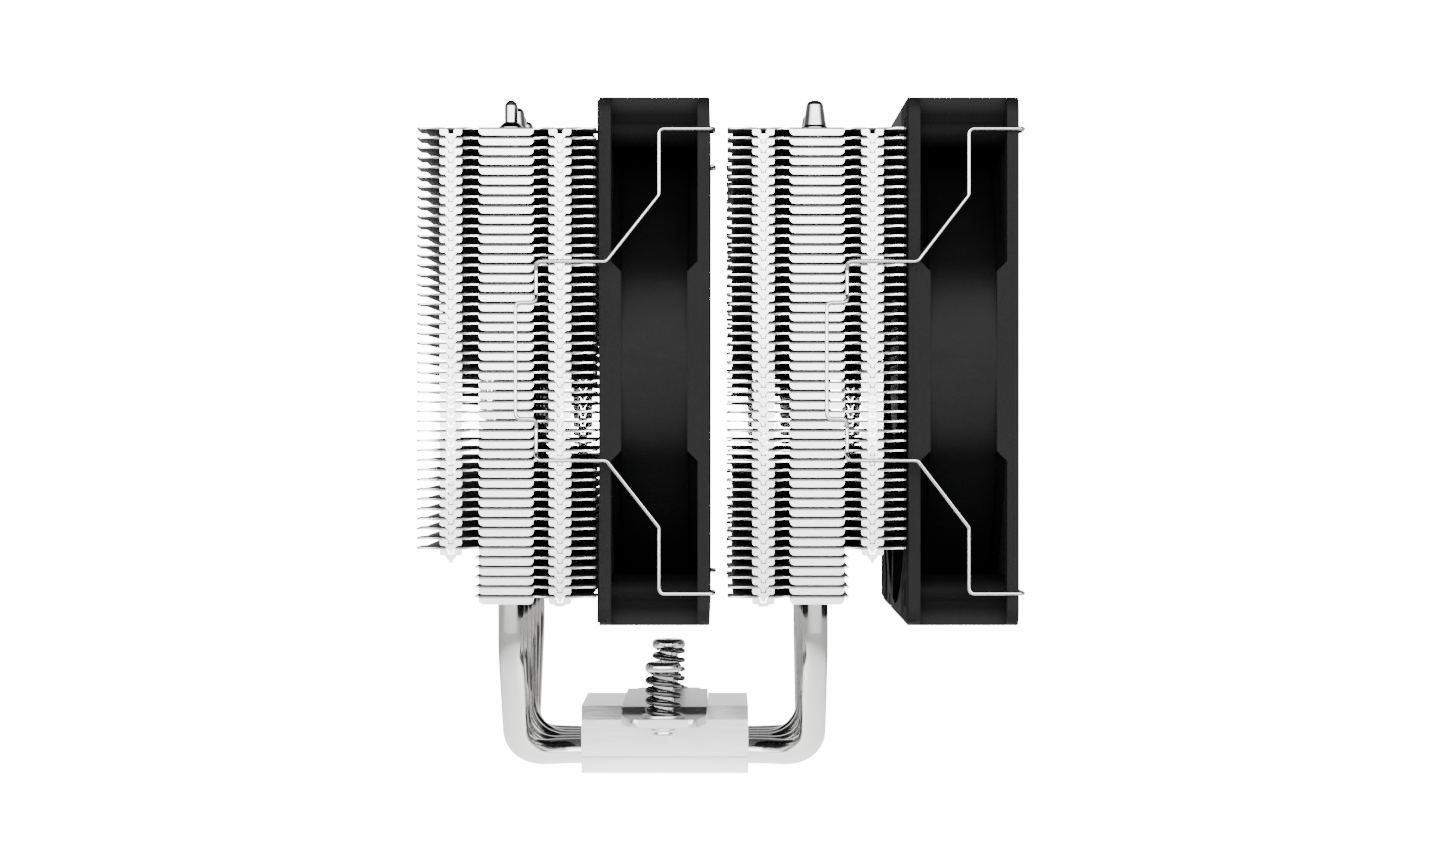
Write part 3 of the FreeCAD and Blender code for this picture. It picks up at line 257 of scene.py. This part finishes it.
# Painted shade: faces between two sheets, and the cut edges behind each V, are darker and duller than
# bare sheet, so that the narrow gaps come out dark as if shadowed.
gap_shade_aluminium = plated_metal("gap_shade_aluminium", (0.16, 0.16, 0.165), 0.40, (2200, 120, 600), 0.10)
gap_shade_shader = gap_shade_aluminium.node_tree.nodes["Principled BSDF"]
gap_shade_shader.inputs["Metallic"].default_value = 0
gap_shade_shader.inputs["Specular IOR Level"].default_value = 0.1
FIN_PITCH = 2.2 * MM
FIN_SHEET = 0.38 * MM
FLANGE_HIGH = 1.85 * MM
FINS = 49
CUT_AWAY_FINS = 5
low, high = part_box("fin_stack_right")
FIN_TOP = high.z
TOWER_X = (low.x + high.x) / 2
SIDE = high.y
FLANGE_HALF = 6.2 * MM
LINKS = (TOWER_X - 12.1 * MM, TOWER_X + 12.45 * MM)
LINK_HALF = 2.5 * MM
SLOT_HALF = 0.6 * MM
V_HALF = 1.3 * MM
V_DEEP = 0.86 * MM
SLOT_DEEP = 1.5 * MM
PLUG_GAP = 0.2 * MM
NOTCH_DEEP = 1.3 * MM
NOTCH_OUTER = 7.6 * MM
STRIP_WIDE = 13 * MM
WAIST = 1.2 * MM
CORNER_REACH = 2.5 * MM
FLANGE_CORNER = 1.1 * MM
LINK_CORNER = 0.6 * MM
FOLD_ROUND = 0.45 * MM
PIPE_RADIUS = 3 * MM
COLLAR_RADIUS = 3.42 * MM
COLLAR_HIGH = 1.3 * MM
COLLAR_MIDDLE = 0.62 * MM
COLLAR_WALL = 0.3 * MM
COLLAR_WAIST = 0.35 * MM
COLLAR_FLARE = 1.18
COLLAR_NECK = 0.93
SHORT_FIN_END = 7.2 * MM
LOWEST_PLUG_HANGS = 0.5 * MM
SAME_PLACE = 0.01 * MM


def pick(wanted, kind="FACE"):
    """Selects the faces, edges or vertices whose middle passes a test."""
    bpy.ops.mesh.select_mode(type=kind)
    bpy.ops.mesh.select_all(action="DESELECT")
    mesh = bpy.context.object.data
    shape = bmesh.from_edit_mesh(mesh)
    parts = {"FACE": shape.faces, "EDGE": shape.edges, "VERT": shape.verts}[kind]
    for part in parts:
        corners = [part] if kind == "VERT" else part.verts
        if wanted(sum((corner.co for corner in corners), Vector()) / len(corners)):
            part.select_set(True)
    bmesh.update_edit_mesh(mesh)


def cut_across(place, normal, clear_outer=False):
    """Straight cut through the whole mesh that is being edited."""
    bpy.ops.mesh.select_all(action="SELECT")
    bpy.ops.mesh.bisect(plane_co=place, plane_no=normal, clear_outer=clear_outer)


def is_flange(middle):
    """Whether a point of the side edge lies on the wide flange or a link."""
    on_link = any(abs(middle.x - link) < LINK_HALF for link in LINKS)
    return on_link or abs(middle.x - TOWER_X) < FLANGE_HALF


def off_link(middle):
    """Distance along X from the nearest link's middle."""
    return min(abs(middle.x - link) for link in LINKS)


def one_fin():
    """The stamped sheet at the top of the right tower."""
    bpy.ops.object.select_all(action="DESELECT")
    bpy.ops.mesh.primitive_plane_add(size=1, location=(TOWER_X, 0, FIN_TOP))
    fin = bpy.context.object
    fin.scale = (high.x - low.x, 2 * SIDE, 1)
    bpy.ops.object.transform_apply(location=True, rotation=True, scale=True)
    bpy.ops.object.mode_set(mode="EDIT")
    for link in LINKS:
        for away in (LINK_HALF, V_HALF, SLOT_HALF):
            cut_across((link - away, 0, 0), (1, 0, 0))
            cut_across((link + away, 0, 0), (1, 0, 0))
    for away in (FLANGE_HALF, NOTCH_OUTER):
        cut_across((TOWER_X - away, 0, 0), (1, 0, 0))
        cut_across((TOWER_X + away, 0, 0), (1, 0, 0))
    strip = SIDE - STRIP_WIDE
    for y in (SIDE - NOTCH_DEEP, strip, strip - WAIST):
        cut_across((0, -y, 0), (0, 1, 0))
        cut_across((0, y, 0), (0, 1, 0))
    for edge_x, inwards in ((low.x, 1), (high.x, -1)):
        pick(lambda spot: abs(spot.x - edge_x) < SAME_PLACE and abs(spot.y) < strip - 1 * MM, "VERT")
        bpy.ops.transform.translate(value=(inwards * WAIST, 0, 0))
    pick(lambda spot: abs(abs(spot.y) - SIDE) < SAME_PLACE
         and min(abs(spot.x - low.x), abs(spot.x - high.x)) < SAME_PLACE, "VERT")
    bpy.ops.mesh.bevel(offset=CORNER_REACH, segments=4, affect="VERTICES")
    pick(lambda spot: abs(spot.y) > SIDE - NOTCH_DEEP
         and (off_link(spot) < V_HALF or FLANGE_HALF < abs(spot.x - TOWER_X) < NOTCH_OUTER))
    bpy.ops.mesh.delete(type="FACE")
    return fin


def fold_flanges():
    """Folded side strips with rounded lower corners, and the links between their outer parts."""
    pick(lambda middle: abs(abs(middle.y) - SIDE) < SAME_PLACE and is_flange(middle), "EDGE")
    bpy.ops.mesh.extrude_edges_move(TRANSFORM_OT_translate={"value": (0, 0, -FLANGE_HIGH)})
    for link in LINKS:
        for side in (-1, 1):
            bridge_link(link, side)
    bottom = FIN_TOP - FLANGE_HIGH
    for reach, half in ((FLANGE_CORNER, FLANGE_HALF), (LINK_CORNER, LINK_HALF)):
        middles = (TOWER_X,) if half == FLANGE_HALF else LINKS
        pick(lambda spot: abs(spot.z - bottom) < SAME_PLACE
             and any(abs(abs(spot.x - middle) - half) < SAME_PLACE for middle in middles), "VERT")
        bpy.ops.mesh.bevel(offset=reach, segments=3, affect="VERTICES")


def bridge_link(link, side):
    """Face of one link: a V and a slot above, and below them the plug that fills the next V."""
    shape = bmesh.from_edit_mesh(bpy.context.object.data)

    def corner(x, z):
        spot = Vector((x, side * SIDE, z))
        near = min(shape.verts, key=lambda vert: (vert.co - spot).length)
        return near if (near.co - spot).length < 0.005 * MM else shape.verts.new(spot)

    bottom = FIN_TOP - FLANGE_HIGH
    slot_end = FIN_TOP - SLOT_DEEP
    v_end = FIN_TOP - V_DEEP
    for way in (-1, 1):
        outer = link + way * V_HALF
        inner = link + way * SLOT_HALF
        upper = [corner(outer, FIN_TOP), corner(inner, v_end), corner(inner, slot_end),
                 corner(inner, bottom), corner(outer, bottom)]
        shape.faces.new(upper)
    shape.faces.new([corner(link - SLOT_HALF, slot_end), corner(link + SLOT_HALF, slot_end),
                     corner(link + SLOT_HALF, bottom), corner(link - SLOT_HALF, bottom)])
    next_top = FIN_TOP - FIN_PITCH
    plug_half = ((V_HALF, bottom), (V_HALF - PLUG_GAP, next_top),
                 (SLOT_HALF - PLUG_GAP, next_top - V_DEEP),
                 (SLOT_HALF - PLUG_GAP, next_top - SLOT_DEEP + PLUG_GAP))
    plug = [corner(link + half, z) for half, z in plug_half]
    plug += [corner(link - half, z) for half, z in reversed(plug_half)]
    plug += [corner(link - SLOT_HALF, bottom), corner(link + SLOT_HALF, bottom)]
    shape.faces.new(plug)
    bmesh.update_edit_mesh(bpy.context.object.data)


def finish_sheet(fin):
    """Rounds the folds and gives the sheet its thickness."""
    pick(lambda middle: abs(abs(middle.y) - SIDE) < SAME_PLACE
         and abs(middle.z - FIN_TOP) < SAME_PLACE
         and is_flange(middle) and off_link(middle) > V_HALF, "EDGE")
    bpy.ops.mesh.bevel(offset=FOLD_ROUND, segments=2, affect="EDGES")
    bpy.ops.mesh.select_all(action="SELECT")
    bpy.ops.mesh.normals_make_consistent(inside=False)
    bpy.ops.object.mode_set(mode="OBJECT")
    if max(fin.data.polygons, key=lambda face: face.area).normal.z < 0:
        bpy.ops.object.mode_set(mode="EDIT")
        bpy.ops.mesh.flip_normals()
        bpy.ops.object.mode_set(mode="OBJECT")
    sheet = fin.modifiers.new("sheet", "SOLIDIFY")
    sheet.thickness = FIN_SHEET
    sheet.offset = -1
    sheet.use_even_offset = True
    bpy.ops.object.modifier_apply(modifier="sheet")


def pipe_collars():
    """Drawn collars round the six pipes, standing on the top sheet."""
    collars = []
    for number in range(1, 7):
        foot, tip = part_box(f"heat_pipe_{number}")
        outward = foot.y if abs(foot.y) > abs(tip.y) else tip.y
        pipe_y = outward - math.copysign(PIPE_RADIUS, outward)
        bpy.ops.object.select_all(action="DESELECT")
        bpy.ops.mesh.primitive_cylinder_add(vertices=24, radius=COLLAR_RADIUS, depth=COLLAR_HIGH,
                                            end_fill_type="NOTHING",
                                            location=(TOWER_X, pipe_y, FIN_TOP + COLLAR_MIDDLE))
        collar = bpy.context.object
        bpy.ops.object.mode_set(mode="EDIT")
        pick(lambda spot: spot.z < 0, "VERT")
        bpy.ops.transform.resize(value=(COLLAR_FLARE, COLLAR_FLARE, 1),
                                 center_override=(TOWER_X, pipe_y, FIN_TOP))
        bpy.ops.mesh.select_all(action="SELECT")
        cut_across((TOWER_X, pipe_y, FIN_TOP + COLLAR_WAIST), (0, 0, 1))
        pick(lambda spot: abs(spot.z + COLLAR_MIDDLE - COLLAR_WAIST) < 0.02 * MM, "VERT")
        bpy.ops.transform.resize(value=(COLLAR_NECK, COLLAR_NECK, 1),
                                 center_override=(TOWER_X, pipe_y, FIN_TOP))
        bpy.ops.object.mode_set(mode="OBJECT")
        wall = collar.modifiers.new("wall", "SOLIDIFY")
        wall.thickness = COLLAR_WALL
        wall.offset = -1
        bpy.ops.object.modifier_apply(modifier="wall")
        bpy.ops.object.transform_apply(location=True, rotation=True, scale=True)
        collars.append(collar)
    return collars


def join_into(keeper, others):
    """One mesh out of several objects."""
    bpy.ops.object.select_all(action="DESELECT")
    for other in others:
        other.select_set(True)
    keeper.select_set(True)
    bpy.context.view_layer.objects.active = keeper
    bpy.ops.object.join()


def own_copy(original, name):
    """Copy with a mesh of its own."""
    copy = original.copy()
    copy.data = original.data.copy()
    copy.name = name
    bpy.context.scene.collection.objects.link(copy)
    bpy.ops.object.select_all(action="DESELECT")
    copy.select_set(True)
    bpy.context.view_layer.objects.active = copy
    return copy


def row_of(fin, count):
    """The sheet repeated downwards at the fins' pitch."""
    bpy.context.view_layer.objects.active = fin
    rows = fin.modifiers.new("rows", "ARRAY")
    rows.count = count
    rows.use_relative_offset = False
    rows.use_constant_offset = True
    rows.constant_offset_displace = (0, 0, -FIN_PITCH)
    bpy.ops.object.modifier_apply(modifier="rows")


full_fin = one_fin()
fold_flanges()
finish_sheet(full_fin)
join_into(full_fin, pipe_collars())
full_fin.data.materials.clear()
full_fin.data.materials.append(rolled_aluminium)
short_fin = own_copy(full_fin, "short_fin")
bpy.ops.object.mode_set(mode="EDIT")
bpy.ops.mesh.select_all(action="SELECT")
bpy.ops.mesh.bisect(plane_co=(TOWER_X + SHORT_FIN_END, 0, 0), plane_no=(1, 0, 0), clear_outer=True,
                    use_fill=True)
bpy.ops.mesh.select_all(action="SELECT")
bpy.ops.transform.translate(value=(0, 0, -FIN_PITCH * (FINS - CUT_AWAY_FINS)))
bpy.ops.object.mode_set(mode="OBJECT")
row_of(short_fin, CUT_AWAY_FINS)
lowest_plug = FIN_TOP - FIN_PITCH * (FINS - 1) - FLANGE_HIGH - LOWEST_PLUG_HANGS
bpy.ops.object.mode_set(mode="EDIT")
bpy.ops.mesh.select_all(action="SELECT")
bpy.ops.mesh.bisect(plane_co=(0, 0, lowest_plug), plane_no=(0, 0, -1), clear_outer=True,
                    use_fill=True)
bpy.ops.object.mode_set(mode="OBJECT")
bpy.context.view_layer.objects.active = full_fin
row_of(full_fin, FINS - CUT_AWAY_FINS)
join_into(full_fin, [short_fin])
right_fins = full_fin
right_fins.name = "folded_fins_right"
right_fins.data.materials.append(gap_shade_aluminium)
# Painted shade: faces between the sheets and the cut edges behind each V take the dark second material.
for face in right_fins.data.polygons:
    shade_between_sheets = abs(face.normal.z) > 0.9 and face.center.z < FIN_TOP - 0.1 * MM
    shade_behind_v = (abs(abs(face.center.y) - SIDE + NOTCH_DEEP) < 0.3 * MM
                and abs(face.normal.y) > 0.9 and off_link(face.center) < V_HALF)
    if shade_between_sheets or shade_behind_v:
        face.material_index = 1
left_fins = own_copy(right_fins, "folded_fins_left")
left_fins.rotation_euler.z = math.pi
bpy.ops.object.transform_apply(location=True, rotation=True, scale=True)
for fins, node in ((right_fins, "fin_stack_right"), (left_fins, "fin_stack_left")):
    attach(fins, "heatsink")
    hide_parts(node)

# ---------------------------------------------------------------- crossbar and its screws
# A stamped and bent steel bar in the block's channel, nickel plated, with a flat washer under each
# spring; two low screws hold it to the block.

bar_nickel = plated_metal("bar_nickel", (0.74, 0.74, 0.73), 0.30, (1500, 300, 1500), 0.12)
dress("crossbar", bar_nickel, 0.3)
black_nickel = plated_metal("black_nickel", (0.10, 0.10, 0.105), 0.12, (600, 600, 2200), 0.05, 0.03)
bright_steel = plated_metal("bright_steel", (0.80, 0.80, 0.79), 0.14, (600, 600, 2200), 0.05)
for end in ("near", "far"):
    dress(f"seat_washer_{end}", bar_nickel, 0.12)
    dress(f"crossbar_screw_{end}", black_nickel, 0.1)
    dress(f"spring_screw_{end}", bright_steel, 0.15, segments=3)
    dress(f"screw_e_clip_{end}", bright_steel, 0.08)

# ---------------------------------------------------------------- compression springs
# Hard-drawn wire wound to about four turns and ground flat at both ends, so that it stands square
# on the washer and under the screw's head; black nickel plated like the crossbar's screws.

SPRING_WIRE = 0.65 * MM
SPRING_PITCH = 2.33 * MM
HEAD_Z = 25.4 * MM
SCREW_Y = 41 * MM


def compression_spring(end, sign):
    """Wire wound past both seats, then ground off level with them."""
    spring_low, spring_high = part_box(f"screw_spring_{end}")
    seat_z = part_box(f"seat_washer_{end}")[1].z
    middle_y = sign * SCREW_Y
    coil = (spring_high.x - spring_low.x) / 2 - SPRING_WIRE
    bpy.ops.object.select_all(action="DESELECT")
    bpy.ops.mesh.primitive_circle_add(vertices=16, radius=SPRING_WIRE,
                                      rotation=(math.pi / 2, 0, 0),
                                      location=(coil, 0, seat_z - 0.2 * MM))
    spring = bpy.context.object
    spring.name = f"ground_spring_{end}"
    bpy.ops.object.transform_apply(location=True, rotation=True, scale=True)
    turns = math.ceil((HEAD_Z - seat_z + 2 * SPRING_WIRE) / SPRING_PITCH)
    wind = spring.modifiers.new("wind", "SCREW")
    wind.axis = "Z"
    wind.angle = -math.tau
    wind.screw_offset = SPRING_PITCH
    wind.iterations = turns
    wind.steps = 48
    wind.render_steps = 48
    wind.use_smooth_shade = True
    bpy.ops.object.modifier_apply(modifier="wind")
    bpy.ops.object.mode_set(mode="EDIT")
    for place, normal in ((seat_z + 0.02 * MM, (0, 0, -1)), (HEAD_Z - 0.02 * MM, (0, 0, 1))):
        bpy.ops.mesh.select_all(action="SELECT")
        bpy.ops.mesh.bisect(plane_co=(0, 0, place), plane_no=normal, clear_outer=True, use_fill=True)
    bpy.ops.mesh.select_all(action="SELECT")
    bpy.ops.mesh.normals_make_consistent(inside=False)
    bpy.ops.transform.translate(value=(0, middle_y, 0))
    bpy.ops.object.mode_set(mode="OBJECT")
    spring.data.materials.append(black_nickel)
    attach(spring, "heatsink")
    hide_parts(f"screw_spring_{end}")
    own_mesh(spring)


compression_spring("near", -1)
compression_spring("far", 1)

# ---------------------------------------------------------------- fan frames and blades
# Glass-filled plastic, injection moulded in one piece each. The frame carries a fine spark-eroded
# grain; the blades and the hub cup are smoother and a little darker. The recesses of the frame carry
# painted shade: they are toned darker and less glossy than its outer faces.


FRAME_HALF = 60.0 * MM
FAN_Z = 97.4 * MM
RECESS_EDGE = (0.6 * MM, 5.0 * MM)
RECESS_SHADE = 0.25
FRAME_GLEAM = 0.08


def moulded_plastic(name, colour, roughness, grain_scale, relief_strength, gleam=0.5):
    """Black moulded plastic with a fine even grain and a slight mottling of its gloss."""
    material = bpy.data.materials.new(name)
    material.use_nodes = True
    nodes = material.node_tree.nodes
    links = material.node_tree.links
    shader = nodes["Principled BSDF"]
    shader.inputs["Specular IOR Level"].default_value = gleam
    place = nodes.new("ShaderNodeTexCoord")
    grain = nodes.new("ShaderNodeTexNoise")
    grain.inputs["Scale"].default_value = grain_scale
    grain.inputs["Detail"].default_value = 3
    links.new(place.outputs["Object"], grain.inputs["Vector"])
    mottle = nodes.new("ShaderNodeTexNoise")
    mottle.inputs["Scale"].default_value = 90
    mottle.inputs["Detail"].default_value = 5
    links.new(place.outputs["Object"], mottle.inputs["Vector"])
    tone = nodes.new("ShaderNodeMix")
    tone.data_type = "RGBA"
    tone.inputs["A"].default_value = (*[value * 0.85 for value in colour], 1)
    tone.inputs["B"].default_value = (*[value * 1.2 for value in colour], 1)
    links.new(grain.outputs["Fac"], tone.inputs["Factor"])
    links.new(tone.outputs["Result"], shader.inputs["Base Color"])
    gloss = nodes.new("ShaderNodeMapRange")
    gloss.inputs["To Min"].default_value = roughness - 0.08
    gloss.inputs["To Max"].default_value = roughness + 0.08
    links.new(mottle.outputs["Fac"], gloss.inputs["Value"])
    links.new(gloss.outputs["Result"], shader.inputs["Roughness"])
    relief = nodes.new("ShaderNodeBump")
    relief.inputs["Strength"].default_value = relief_strength
    relief.inputs["Distance"].default_value = 0.04 * MM
    links.new(grain.outputs["Fac"], relief.inputs["Height"])
    links.new(relief.outputs["Normal"], shader.inputs["Normal"])
    return material


grained_plastic = moulded_plastic("grained_plastic", (0.010, 0.010, 0.010), 0.55, 3200, 0.5, FRAME_GLEAM)
satin_plastic = moulded_plastic("satin_plastic", (0.008, 0.008, 0.008), 0.42, 2200, 0.15, 0.10)
soft_rubber = moulded_plastic("soft_rubber", (0.009, 0.009, 0.009), 0.75, 1800, 0.3, 0.06)


def paint_recess_shade(material, middle_z):
    """Painted shade: darkens a frame from its outer faces inwards, and takes gloss away with it."""
    nodes = material.node_tree.nodes
    links = material.node_tree.links

    def math_of(operation, first, second=0.0):
        step = nodes.new("ShaderNodeMath")
        step.operation = operation
        for slot, value in enumerate((first, second)):
            if isinstance(value, float):
                step.inputs[slot].default_value = value
            else:
                links.new(value, step.inputs[slot])
        return step.outputs["Value"]

    across = math_of("ABSOLUTE", along(material, "Y"))
    up = math_of("ABSOLUTE", math_of("SUBTRACT", along(material, "Z"), middle_z))
    depth = math_of("SUBTRACT", FRAME_HALF, math_of("MAXIMUM", across, up))
    facing = nodes.new("ShaderNodeNewGeometry")
    parts = nodes.new("ShaderNodeSeparateXYZ")
    links.new(facing.outputs["Normal"], parts.inputs["Vector"])
    on_face = math_of("GREATER_THAN", math_of("ABSOLUTE", parts.outputs["X"]), 0.7)
    # Painted shade: the deeper into the recesses, the darker the frame and the less it reflects.
    tone = fade(nodes, links, depth, *RECESS_EDGE, 1.0, RECESS_SHADE)
    shade_by(material, math_of("MAXIMUM", tone, on_face))
    links.new(math_of("MULTIPLY", math_of("MAXIMUM", tone, on_face), FRAME_GLEAM),
              nodes["Principled BSDF"].inputs["Specular IOR Level"])


paint_recess_shade(grained_plastic, FAN_Z)
FANS = ("middle_fan", "outer_fan")
for fan in FANS:
    dress(f"{fan}_frame", grained_plastic, 0.4)
    dress(f"{fan}_impeller", satin_plastic, 0.12, sharper_than=50)
    dress(f"{fan}_rubber_pads", soft_rubber, 0.3)

# ---------------------------------------------------------------- fan motors
# Behind each hub: a drawn steel yoke with a bonded ferrite ring on a ground shaft, a sintered
# bronze sleeve, a laminated core with four enamelled copper coils, and a small circuit board.

drawn_steel = plated_metal("drawn_steel", (0.50, 0.50, 0.51), 0.35, (300, 1800, 1800), 0.15)
laminated_steel = plated_metal("laminated_steel", (0.36, 0.36, 0.37), 0.42, (5000, 40, 40), 0.6)
ground_steel = plated_metal("ground_steel", (0.74, 0.74, 0.74), 0.12, (4000, 200, 200), 0.05)
sintered_bronze = plated_metal("sintered_bronze", (0.60, 0.42, 0.22), 0.40, (1500, 1500, 1500), 0.4)
enamelled_copper = plated_metal("enamelled_copper", (0.62, 0.27, 0.13), 0.25, (3500, 400, 400), 0.7)
natural_nylon = moulded_plastic("natural_nylon", (0.62, 0.60, 0.55), 0.45, 1500, 0.1)
bonded_ferrite = moulded_plastic("bonded_ferrite", (0.045, 0.043, 0.042), 0.6, 2600, 0.2)
solder_mask = moulded_plastic("solder_mask", (0.015, 0.12, 0.05), 0.3, 700, 0.1)
blank_label = moulded_plastic("blank_label", (0.42, 0.42, 0.42), 0.38, 900, 0.05)
MOTOR_FINISHES = {
    "rotor_yoke": drawn_steel,
    "magnet_ring": bonded_ferrite,
    "shaft": ground_steel,
    "shaft_retainer": natural_nylon,
    "bearing_sleeve": sintered_bronze,
    "stator_core": laminated_steel,
    "windings": enamelled_copper,
    "circuit_board": solder_mask,
    "hub_label": blank_label,
}
for fan in FANS:
    for piece, finish in MOTOR_FINISHES.items():
        dress(f"{fan}_{piece}", finish)

# ---------------------------------------------------------------- wire clips
# One piece of bright spring wire on each side of each fan, bent cold: it hooks into two screw
# holes and springs into the groove of the fins.

drawn_wire = plated_metal("drawn_wire", (0.80, 0.80, 0.80), 0.18, (900, 900, 900), 0.08)
for fan in FANS:
    for end in ("near", "far"):
        dress(f"{fan}_clip_{end}", drawn_wire)
